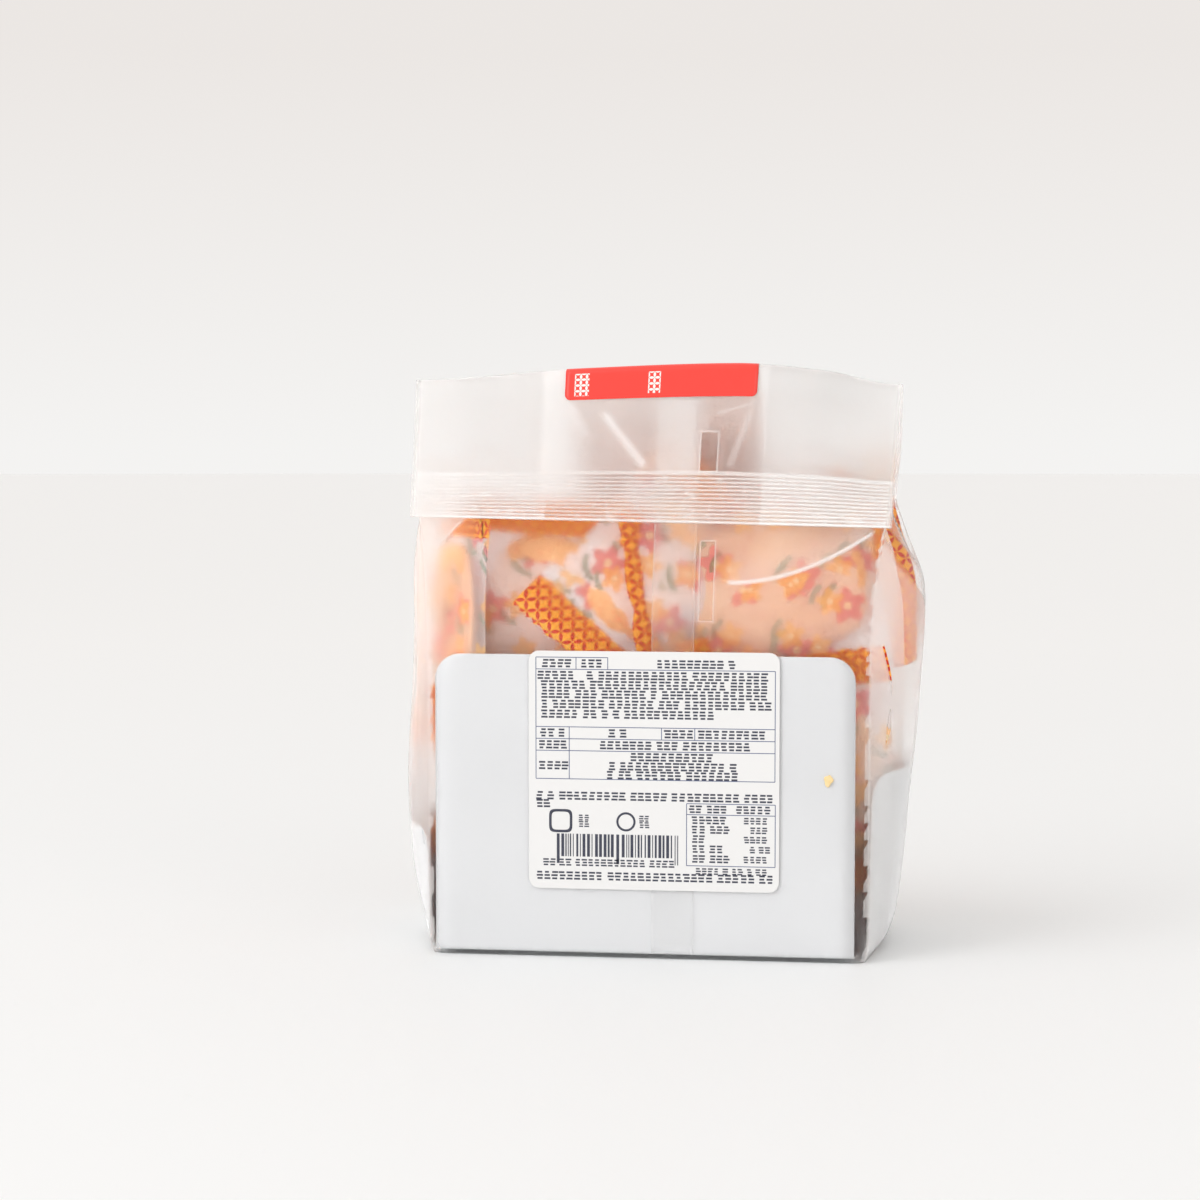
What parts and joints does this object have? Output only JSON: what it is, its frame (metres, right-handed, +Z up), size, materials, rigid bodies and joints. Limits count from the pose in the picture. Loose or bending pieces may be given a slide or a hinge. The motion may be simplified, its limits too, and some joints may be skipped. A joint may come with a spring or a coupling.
{
  "type": "bag of wrapped rice crackers",
  "caption": "Clear side-gusset bag of individually wrapped rice crackers, standing on a folded card, its top folded over and held by a label.",
  "frame": {"origin": "on the base card's bottom face, midway across the bag and between the card's back and front panels", "axes": "+Z up; -Y towards the side with the information label and the folded-over flap; +X to the right when that side is looked at"},
  "size_m": [0.135, 0.0642, 0.1506],
  "materials": {
    "film": "frosted clear film over wrapped crackers",
    "card": "matt white card",
    "white_label": "smooth white paper label",
    "red_label": "smooth red paper label"
  },
  "bodies": {
    "root": {"film_bag": "film", "base_card": "card", "back_label": "white_label", "closure_label": "red_label"}
  },
  "joints": []
}
